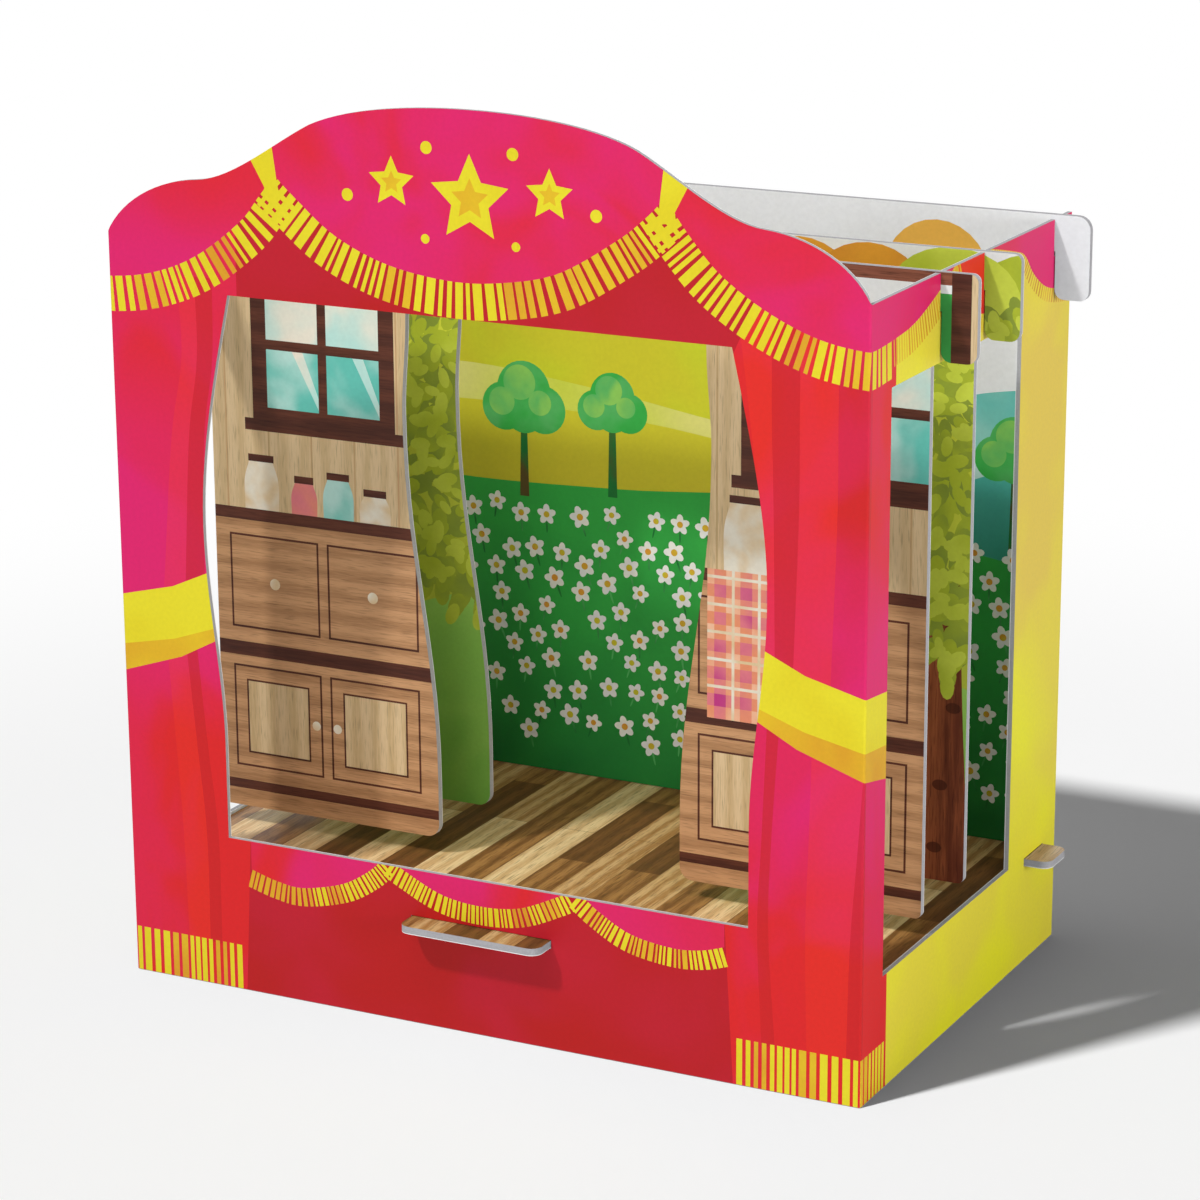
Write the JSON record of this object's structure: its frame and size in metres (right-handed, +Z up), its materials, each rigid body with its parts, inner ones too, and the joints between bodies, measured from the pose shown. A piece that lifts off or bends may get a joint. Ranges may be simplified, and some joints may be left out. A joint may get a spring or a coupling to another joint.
{
  "type": "toy theatre",
  "caption": "Free-standing toy theatre of laminated greyboard: a folded proscenium shell, a stage floor held by tabs, and scenery slabs that lift out of slots in the side rails.",
  "frame": {"origin": "middle of the footprint, on the table the theatre stands on", "axes": "+X to the right as the audience sees it, +Y from the audience towards the rear, +Z up"},
  "size_m": [0.3492, 0.2112, 0.362],
  "materials": {
    "greyboard": "cut edge of solid greyboard, matt and slightly fibrous",
    "curtain_print": "red and pink print under a satin film",
    "lining_paper": "plain off-white paper, matt",
    "plank_print": "wood plank print under a satin film",
    "kitchen_print": "light wood room print under a satin film",
    "forest_print": "olive woodland print under a satin film",
    "meadow_print": "meadow and hills print under a satin film"
  },
  "bodies": {
    "shell": {"front_board": "greyboard", "left_side_board": "greyboard", "right_side_board": "greyboard", "shell_print": "curtain_print", "front_lining": "lining_paper", "left_side_lining": "lining_paper", "right_side_lining": "lining_paper", "stage_board": "greyboard", "stage_print": "plank_print", "stage_lining": "lining_paper"},
    "kitchen_slab": {"kitchen_board": "greyboard", "kitchen_front_print": "kitchen_print", "kitchen_back_print": "lining_paper"},
    "forest_slab": {"forest_board": "greyboard", "forest_front_print": "forest_print", "forest_back_print": "lining_paper"},
    "backdrop_slab": {"backdrop_board": "greyboard", "backdrop_front_print": "meadow_print", "backdrop_back_print": "lining_paper"}
  },
  "joints": [
    {"name": "kitchen_lift", "type": "slide", "parent": "shell", "child": "kitchen_slab", "axis": [0, 0, 1], "range_m": [0, 0.26]},
    {"name": "forest_lift", "type": "slide", "parent": "shell", "child": "forest_slab", "axis": [0, 0, 1], "range_m": [0, 0.26]},
    {"name": "backdrop_lift", "type": "slide", "parent": "shell", "child": "backdrop_slab", "axis": [0, 0, 1], "range_m": [0, 0.268]}
  ]
}
